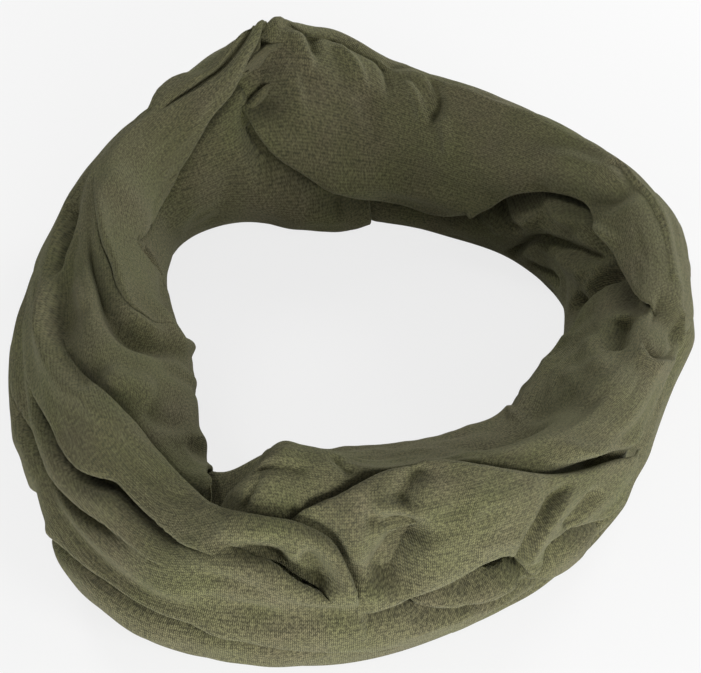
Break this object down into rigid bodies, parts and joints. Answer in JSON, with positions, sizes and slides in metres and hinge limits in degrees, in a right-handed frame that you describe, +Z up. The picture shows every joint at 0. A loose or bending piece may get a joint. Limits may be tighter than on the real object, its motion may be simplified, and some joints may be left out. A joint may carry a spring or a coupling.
{
  "type": "snood",
  "caption": "Bunched tube scarf of fine knitted jersey, lying as a loose ring of overlapping soft folds round an open neck space.",
  "frame": {"origin": "centre of the bounding box, on the surface that the snood lies on", "axes": "+Z up, along the axis of the neck space; -Y towards the near, puffed side; +X to the right as seen from there"},
  "size_m": [0.253, 0.2622, 0.0797],
  "materials": {
    "hidden_layers": "matte fine knitted jersey",
    "far_band": "matte fine knitted jersey",
    "far_lower_layer": "matte fine knitted jersey",
    "far_right_inner": "matte fine knitted jersey",
    "left_upper_band": "matte fine knitted jersey",
    "left_inner_panel": "matte fine knitted jersey",
    "left_inner_lobe": "matte fine knitted jersey",
    "left_outer_band": "matte fine knitted jersey",
    "left_long_folds": "matte fine knitted jersey",
    "near_left_hump": "matte fine knitted jersey",
    "near_back_ridge": "matte fine knitted jersey",
    "near_crown": "matte fine knitted jersey",
    "lower_right_folds": "matte fine knitted jersey",
    "under_fold": "matte fine knitted jersey",
    "right_inner_band": "matte fine knitted jersey",
    "outer_back": "matte fine knitted jersey"
  },
  "bodies": {
    "root": {"hidden_layers": "hidden_layers", "far_band": "far_band", "far_lower_layer": "far_lower_layer", "far_right_inner": "far_right_inner", "left_upper_band": "left_upper_band", "left_inner_panel": "left_inner_panel", "left_inner_lobe": "left_inner_lobe", "left_outer_band": "left_outer_band", "left_long_folds": "left_long_folds", "near_left_hump": "near_left_hump", "near_back_ridge": "near_back_ridge", "near_crown": "near_crown", "lower_right_folds": "lower_right_folds", "under_fold": "under_fold", "right_inner_band": "right_inner_band", "outer_back": "outer_back"}
  },
  "joints": []
}
